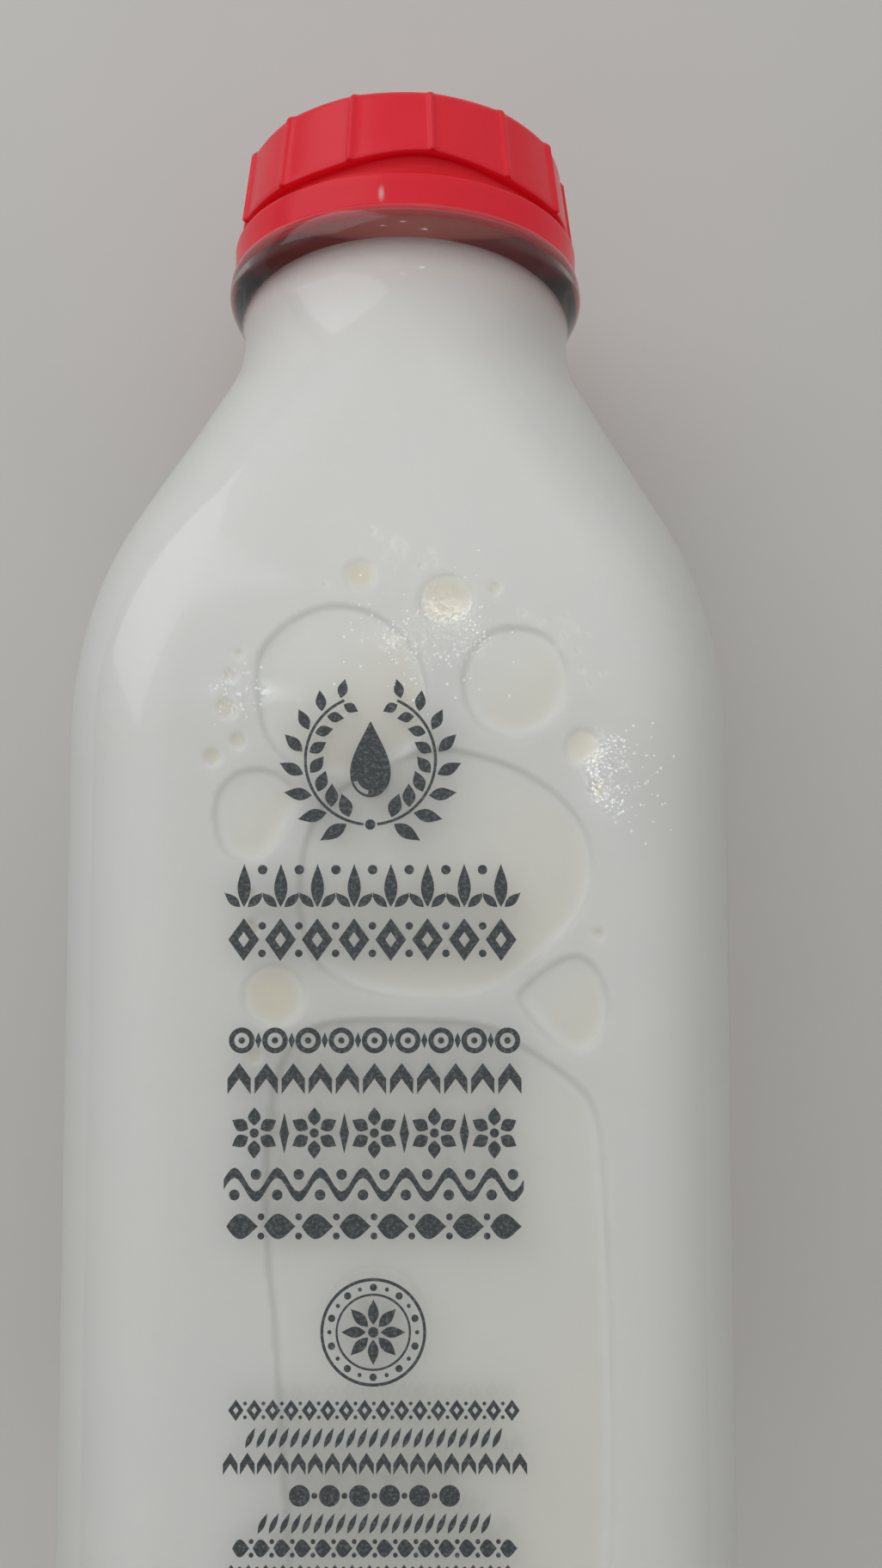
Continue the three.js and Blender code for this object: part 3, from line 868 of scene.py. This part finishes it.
cap_points = np.array([vertex.co for vertex in cap.data.vertices])
cap_radii = np.hypot(cap_points[:, 0], cap_points[:, 2] - axis_height)
cap_angles = np.arctan2(cap_points[:, 0], cap_points[:, 2] - axis_height)
cap_alongs = cap_points[:, 1] - base_y
# Painted light on the seal inside the cap, where it shows through the glass ring.
seal_light = (cap_radii < BORE_RADIUS) & (cap_alongs < total_length - CAP_TOP_THICKNESS / 2)
in_groove = (cap_alongs > CAP_BAND_TOP - 0.1 * MM) & (cap_radii > FINISH_RADIUS + MM)
under_crescent = np.exp(-(((cap_angles - CRESCENT_MIDDLE) / (1.6 * CRESCENT_SPREAD)) ** 2) / 2)
# Painted shade in the groove, strongest under the crescent's overhang.
groove_shade = soft_step((GROOVE_SHADE_TO - cap_radii) / (GROOVE_SHADE_TO - GROOVE_SHADE_FROM)) * in_groove
groove_shade *= (cap_alongs < CAP_RIB_BOTTOM + 2 * MM) * (0.25 + 0.75 * under_crescent)
store_field(cap.data, "seal_light", seal_light)
store_field(cap.data, "groove_shade", groove_shade)

# %% [markdown]
# The cap's plastic is red and softly glossy, and a little uneven. A broad noise varies the red
# and the roughness, and a fine one makes the bump. A small pale nick sits on the band's lower
# edge, where it was chipped.

# %% Cap finish
CAP_RED = (0.82, 0.012, 0.030, 1)
BRIGHTER_RED = (0.88, 0.020, 0.042, 1)
# Painted light for the shaded seal.
SEAL_LIGHT_RED = (0.92, 0.27, 0.22, 1)
# Painted shade for the groove.
GROOVE_SHADE_RED = (0.76, 0.002, 0.014, 1)
NICK_TONE = (0.82, 0.40, 0.38, 1)
NICK_PLACE = in_scene(-2.6 * MM, 200.1 * MM, CAP_BAND_RADIUS)
NICK_REACH = (0.6 * MM, 1.5 * MM, 2 * MM)

cap_material, cap_shader = new_material(
    "red_cap_plastic", Specular_IOR_Level=0.25, Subsurface_Weight=0.1, Subsurface_Scale=1 * MM
)
cap_tone = noise_on(cap_material, 9 * MM, detail=3)
cap_colour = ramp_on(cap_material, cap_tone.outputs["Fac"], CAP_RED, BRIGHTER_RED)
# The seal gets painted light and the groove painted shade.
for field, tint in (("seal_light", SEAL_LIGHT_RED), ("groove_shade", GROOVE_SHADE_RED)):
    cap_colour = tinted(cap_material, cap_colour, field_on(cap_material, field), tint)
nick = spot_on(cap_material, NICK_PLACE, NICK_REACH)
cap_colour = tinted(cap_material, cap_colour, nick, NICK_TONE)
link(cap_material, cap_colour, cap_shader.inputs["Base Color"])
cap_gloss = add_node(cap_material, "MapRange", To_Min=0.20, To_Max=0.30)
link(cap_material, cap_tone.outputs["Fac"], cap_gloss.inputs["Value"])
link(cap_material, cap_gloss.outputs["Result"], cap_shader.inputs["Roughness"])
cap_grain = noise_on(cap_material, 0.6 * MM, detail=3)
cap_bump = bump_from(cap_material, cap_grain.outputs["Fac"], 0.15, 0.05 * MM)
link(cap_material, cap_bump.outputs["Normal"], cap_shader.inputs["Normal"])
cap.data.materials.append(cap_material)
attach(cap, "root")
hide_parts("cap")

# %% [markdown]
# The front is printed in one dark ink, straight on the glass. Ink has almost no thickness, but
# it does have edges, so each motif is a closed outline in millimetres, across and along. A flat
# curve object fills outlines and leaves a hole where one lies inside another. Its mesh is then
# laid on the glass, which starts to bend away above the straight sides.

# %% Ink on glass
INK_THICKNESS = 0.04 * MM
front_along, front_half, front_corner = shoulder_outline(0).T
ink_pieces = []


def front_up(across, along):
    """How high the front of the glass lies above the axis, also where its corners round off."""
    half = np.interp(along, front_along, front_half)
    corner = np.interp(along, front_along, front_corner)
    beyond = max(0, abs(across) - (half - corner))
    return half - corner + math.sqrt(corner**2 - beyond**2)


def ink(name, outlines):
    curve = bpy.data.curves.new(name, "CURVE")
    curve.dimensions = "2D"
    curve.fill_mode = "BOTH"
    curve.extrude = INK_THICKNESS / 2
    for outline in outlines:
        spline = curve.splines.new("POLY")
        spline.points.add(len(outline) - 1)
        flat = [(x * MM, y * MM, 0, 1) for x, y in outline]
        spline.points.foreach_set("co", np.ravel(flat))
        spline.use_cyclic_u = True
    pattern = bpy.data.objects.new(name, curve)
    mesh = bpy.data.meshes.new_from_object(pattern)
    bpy.data.objects.remove(pattern)
    for vertex in mesh.vertices:
        up = front_up(vertex.co.x, vertex.co.y)
        vertex.co = in_scene(vertex.co.x, vertex.co.y, up + vertex.co.z)
    mesh.materials.append(ink_material)
    ink_pieces.append(placed(name, mesh))
    print(f"{name}: {len(outlines)} outlines, {len(mesh.polygons)} faces")


# %% [markdown]
# Screen-printed ink is matt and slightly uneven, with fine pale flecks where the screen's mesh
# or wear has left it thin. Fine noise gives the flecks, and a ramp keeps most of it dark.

# %% Ink finish
DARK_INK = (0.040, 0.050, 0.055, 1)
THIN_INK = (0.17, 0.18, 0.185, 1)

ink_material, ink_shader = new_material("dark_slate_ink", Roughness=0.5)
ink_fleck = noise_on(ink_material, 0.45 * MM, detail=3, roughness=0.7)
ink_colour = ramp_on(ink_material, ink_fleck.outputs["Fac"], DARK_INK, THIN_INK, 0.48, 0.72)
link(ink_material, ink_colour, ink_shader.inputs["Base Color"])
ink_bump = bump_from(ink_material, ink_fleck.outputs["Fac"], 0.2, 0.02 * MM)
link(ink_material, ink_bump.outputs["Normal"], ink_shader.inputs["Normal"])

# %% [markdown]
# The motifs are old printer's ornaments: discs, lozenges, pointed leaves, chevrons and waves.
# Each function gives a list of outlines round a centre, so motifs can be added together and
# repeated along a row.

# %% Motifs
def turned(outline, x, y, degrees):
    angle = math.radians(degrees)
    spin = np.array([[math.cos(angle), math.sin(angle)], [-math.sin(angle), math.cos(angle)]])
    return np.asarray(outline) @ spin + (x, y)


def disc(x, y, radius, sides=28):
    angles = np.linspace(0, 2 * math.pi, sides, endpoint=False)
    return [np.stack([x + radius * np.cos(angles), y + radius * np.sin(angles)], axis=1)]


def lozenge(x, y, width, height):
    corners = [(width, 0), (0, height), (-width, 0), (0, -height)]
    return [np.array(corners) / 2 + (x, y)]


def leaf(x, y, length, width, degrees):
    """A pointed leaf that starts at (x, y) and grows in the direction given."""
    shares = np.linspace(0, 1, 13)
    edge = width / 2 * np.sin(math.pi * shares**0.85) ** 1.15
    upper = np.stack([shares * length, edge], axis=1)
    lower = np.stack([shares * length, -edge], axis=1)[-2:0:-1]
    return [turned(np.concatenate([upper, lower]), x, y, degrees)]


def chevron(x, y, width, height, thickness):
    arm, rise = width / 2, height / 2 - thickness / 2
    points = [(-arm, -rise), (0, rise), (arm, -rise)]
    band = [(px, py + thickness / 2) for px, py in points]
    band += [(px, py - thickness / 2) for px, py in reversed(points)]
    return [np.array(band) + (x, y)]


def arc_band(x, y, radius, thickness, start, end, sides=40):
    """A thin band along a circle between two angles in degrees."""
    angles = np.radians(np.linspace(start, end, sides))
    direction = np.stack([np.cos(angles), np.sin(angles)], axis=1)
    outer = direction * (radius + thickness / 2)
    inner = direction[::-1] * (radius - thickness / 2)
    return [np.concatenate([outer, inner]) + (x, y)]


def wave(left, right, y, height, thickness, count):
    turns = np.linspace(0, count, 12 * count + 1)
    across = left + (right - left) * turns / count
    swing = (height - thickness) / 2 * np.sin(2 * math.pi * turns)
    upper = np.stack([across, y + swing + thickness / 2], axis=1)
    lower = np.stack([across, y + swing - thickness / 2], axis=1)[::-1]
    return [np.concatenate([upper, lower])]


# %% [markdown]
# A row repeats one motif between its left and right ends, with the motif as tall as the row.
# Its extent is given as top, bottom, left and right, and then the pitch that is wished for,
# which gives way a little, so that a whole number of motifs fills the row.

# %% Rows
SLANT = 64


def row_plan(top, bottom, left, right, pitch):
    """The row's middle level and height, the middles of its motifs and the step between them."""
    count = round((right - left) / pitch)
    step = (right - left) / count
    centres = [left + step * (i + 0.5) for i in range(count)]
    return (top + bottom) / 2, top - bottom, centres, step


def pearl_row(*extent):
    y, height, centres, step = row_plan(*extent)
    outlines = [shape for x in centres for shape in disc(x, y, height / 2)]
    for x in centres[1:]:
        outlines += disc(x - step / 2, y, height / 7, 16)
    return outlines


def ring_row(*extent):
    y, height, centres, step = row_plan(*extent)
    outlines = []
    for x in centres:
        outlines += disc(x, y, height / 2) + disc(x, y, height / 3.4) + disc(x, y, height / 8, 16)
    for x in centres[1:]:
        outlines += lozenge(x - step / 2, y, height / 4, height / 1.6)
    return outlines


def lozenge_row(*extent):
    y, height, centres, step = row_plan(*extent)
    outlines = []
    for x in centres:
        outlines += lozenge(x, y, 0.84 * step, height) + lozenge(x, y, 0.3 * step, 0.36 * height)
    for x in centres[1:]:
        for side in (-1, 1):
            outlines += disc(x - step / 2, y + side * 0.32 * height, height / 11, 14)
    return outlines


def sprig_row(*extent):
    y, height, centres, step = row_plan(*extent)
    bottom = y - height / 2
    outlines = []
    for x in centres:
        outlines += leaf(x, bottom, height, 0.36 * step, 90)
        for degrees in (42, 138):
            start = x + math.copysign(0.1 * step, 90 - degrees)
            outlines += leaf(start, bottom, 0.5 * height, 0.24 * step, degrees)
    for x in centres[1:]:
        outlines += disc(x - step / 2, y + 0.36 * height, height / 9, 16)
    return outlines


def chevron_row(*extent):
    y, height, centres, step = row_plan(*extent)
    return [shape for x in centres for shape in chevron(x, y, 0.86 * step, height, 0.5 * height)]


def flower_row(*extent):
    y, height, centres, step = row_plan(*extent)
    outlines = []
    for x in centres:
        outlines += disc(x, y, height / 11, 18)
        for degrees in range(0, 360, 60):
            start = turned([(height / 7, 0)], x, y, degrees + 30)[0]
            outlines += leaf(*start, 0.36 * height, 0.25 * height, degrees + 30)
    for x in centres[1:]:
        outlines += lozenge(x - step / 2, y, 0.16 * step, 0.8 * height)
    return outlines


def wave_row(*extent):
    y, height, centres, step = row_plan(*extent)
    left, right = centres[0] - step / 2, centres[-1] + step / 2
    outlines = wave(left, right, y, height, 0.3 * height, len(centres))
    for x in centres:
        for side in (-1, 1):
            outlines += disc(x + side * step / 4, y + side * 0.3 * height, 0.16 * height, 16)
    return outlines


def garland_row(*extent):
    y, height, centres, step = row_plan(*extent)
    outlines = []
    for x in centres:
        outlines += leaf(x - 0.42 * step, y, 0.84 * step, 0.9 * height, 0)
    for x in centres[1:]:
        for side in (-1, 1):
            outlines += disc(x - step / 2, y + side * 0.34 * height, height / 8, 14)
    return outlines


def slanted_row(*extent):
    y, height, centres, step = row_plan(*extent)
    bottom = y - height / 2
    length = height / math.sin(math.radians(SLANT))
    shift = height / math.tan(math.radians(SLANT)) / 2
    outlines = []
    for x in centres:
        outlines += leaf(x - shift, bottom, length, 0.52 * step, SLANT)
    return outlines


upper_rows = (
    sprig_row(109.6, 104.5, -19.8, 14.7, 4.3)
    + lozenge_row(103.2, 98.2, -19.8, 14.7, 4.3)
)
middle_rows = (
    ring_row(90.5, 87.5, -19.7, 15.2, 3.9)
    + chevron_row(86.4, 82.8, -19.6, 15.1, 3.1)
    + flower_row(81.3, 75.4, -19.7, 15.2, 7.0)
    + wave_row(74.4, 70.5, -19.7, 15.1, 5.0)
    + garland_row(69.3, 66.1, -19.7, 15.2, 4.4)
)
lower_rows = (
    lozenge_row(48.2, 45.8, -19.1, 14.7, 2.1)
    + slanted_row(45.1, 42.8, -17.0, 12.6, 1.3)
    + chevron_row(42.3, 39.8, -19.6, 15.5, 1.9)
    + pearl_row(38.7, 36.3, -12.4, 8.2, 3.4)
    + slanted_row(35.6, 33.3, -15.5, 11.3, 1.3)
    + garland_row(32.8, 30.6, -18.5, 14.4, 2.4)
    + lozenge_row(29.9, 27.7, -19.4, 14.1, 2.0)
)
ink("print_upper_rows", upper_rows)
ink("print_middle_rows", middle_rows)
ink("print_lower_rows", lower_rows)

# %% [markdown]
# At the top of the print two leafy branches form a wreath round a drop of milk. Leaves grow in
# pairs from each stem and get smaller towards its tip. The first and the last leaf are given as
# degrees round from the wreath's foot, length and width. The drop has a curved highlight cut out.

# %% Wreath
WREATH_CENTRE = (-2.85, 121.9)
WREATH_RADIUS = 7.7
STEM_FROM, STEM_TO, STEM_THICKNESS = 6, 156, 0.34
FIRST_LEAF, LAST_LEAF = (20, 3.7, 1.6), (154, 2.4, 1.2)
LEAVES_A_SIDE = 8
LEAF_GAP = 0.42
LEAF_LEAN = 52
INNER_LENGTH = 0.8
KNOT_RADIUS = 0.62


def drop_outline(x, y, width, height):
    angles = np.radians(np.linspace(-90, 270, 60, endpoint=False))
    narrowing = ((1 + np.sin(angles)) / 2) ** 1.6
    across = width / 2 * np.cos(angles) * (1 - 0.86 * narrowing)
    return [np.stack([x + across, y + height / 2 * np.sin(angles)], axis=1)]


wreath = []
for side in (-1, 1):
    stem = (-90 + side * STEM_FROM, -90 + side * STEM_TO)
    wreath += arc_band(*WREATH_CENTRE, WREATH_RADIUS, STEM_THICKNESS, *stem)
    for turn, length, width in np.linspace(FIRST_LEAF, LAST_LEAF, LEAVES_A_SIDE):
        around = -90 + side * turn
        for outward, reach in ((1, length), (-1, INNER_LENGTH * length)):
            foot = [(WREATH_RADIUS + outward * LEAF_GAP, 0)]
            start = turned(foot, *WREATH_CENTRE, around)[0]
            wreath += leaf(*start, reach, width, around + side * (90 - outward * LEAF_LEAN))
drop_x, drop_y = WREATH_CENTRE
wreath += disc(drop_x, drop_y - WREATH_RADIUS, KNOT_RADIUS, 20)
wreath += drop_outline(drop_x, drop_y, 6.0, 9.0)
wreath += arc_band(drop_x, drop_y - 2.1, 1.8, 0.5, 196, 262, 16)
ink("print_wreath", wreath)

# %% [markdown]
# Lower down sits a round seal: two rings with a chain of beads between them, round a rosette.

# %% Seal
SEAL_PLACE = (-2.3, 55.75)
SEAL_CIRCLES = [(6.1, 72), (5.75, 72), (4.35, 60), (4.1, 60)]
BEADS, BEAD_CIRCLE, BEAD_RADII = 20, 5.05, (0.24, 0.42)
PETALS, PETAL_START, PETAL_LENGTH, PETAL_WIDTH = 8, 0.85, 2.85, 1.25
HEART_RADIUS = 0.6

seal = []
for radius, sides in SEAL_CIRCLES:
    seal += disc(*SEAL_PLACE, radius, sides)
for i in range(BEADS):
    bead = turned([(BEAD_CIRCLE, 0)], *SEAL_PLACE, 360 / BEADS * i)[0]
    seal += disc(*bead, BEAD_RADII[i % 2], 16)
for i in range(PETALS):
    turn = 360 / PETALS * i
    petal = turned([(PETAL_START, 0)], *SEAL_PLACE, turn)[0]
    seal += leaf(*petal, PETAL_LENGTH, PETAL_WIDTH, turn)
seal += disc(*SEAL_PLACE, HEART_RADIUS, 20)
ink("print_seal", seal)

for piece in ink_pieces:
    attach(piece, "root")

# %% [markdown]
# Some drops of the dew catch the light and stand out as bright specks. These glints are painted:
# low six-sided domes of a near-white colour, which a seeded draw scatters over the same patches.
# Each patch says its middle across and along, its spread across and along, and how many drops it
# has.

# %% Painted glints of dew
SPECK_RISE = 0.03 * MM
SPECK_SIDES = 6
SPECK_RADII = (0.07, 0.20)
speck_patches = [
    (3.5, 137.0, 5.0, 4.2, 130),
    (28.5, 119.5, 2.0, 4.0, 60),
    (-18.5, 130.0, 1.6, 1.5, 35),
]

speck_draw = np.random.default_rng(11)
speck_points, speck_faces = [], []
for across, along, spread_across, spread_along, count in speck_patches:
    middle, spread = (across * MM, along * MM), (spread_across * MM, spread_along * MM)
    for x, y in speck_draw.normal(middle, spread, (count, 2)):
        radius = speck_draw.uniform(*SPECK_RADII) * MM
        crest = len(speck_points)
        speck_points.append(in_scene(x, y, front_up(x, y) + SPECK_RISE))
        speck_points += [in_scene(*p, front_up(*p)) for p in disc(x, y, radius, SPECK_SIDES)[0]]
        for side in range(SPECK_SIDES):
            following = (side + 1) % SPECK_SIDES
            speck_faces.append((crest, crest + 1 + side, crest + 1 + following))
speck_mesh = bpy.data.meshes.new("painted_glint_specks")
speck_mesh.from_pydata(speck_points, [], speck_faces)
speck_mesh.shade_smooth()
# A near-white colour on these domes paints the glints of the dew.
speck_material, speck_shader = new_material("painted_dew_glint", Base_Color=(0.97, 0.98, 1.0, 1))
speck_tone = noise_on(speck_material, 0.5 * MM)
link(speck_material, speck_tone.outputs["Fac"], speck_shader.inputs["Roughness"])
speck_mesh.materials.append(speck_material)
specks = placed("painted_glint_specks", speck_mesh)
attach(specks, "root")
print(f"{len(speck_faces) // SPECK_SIDES} specks of dew")
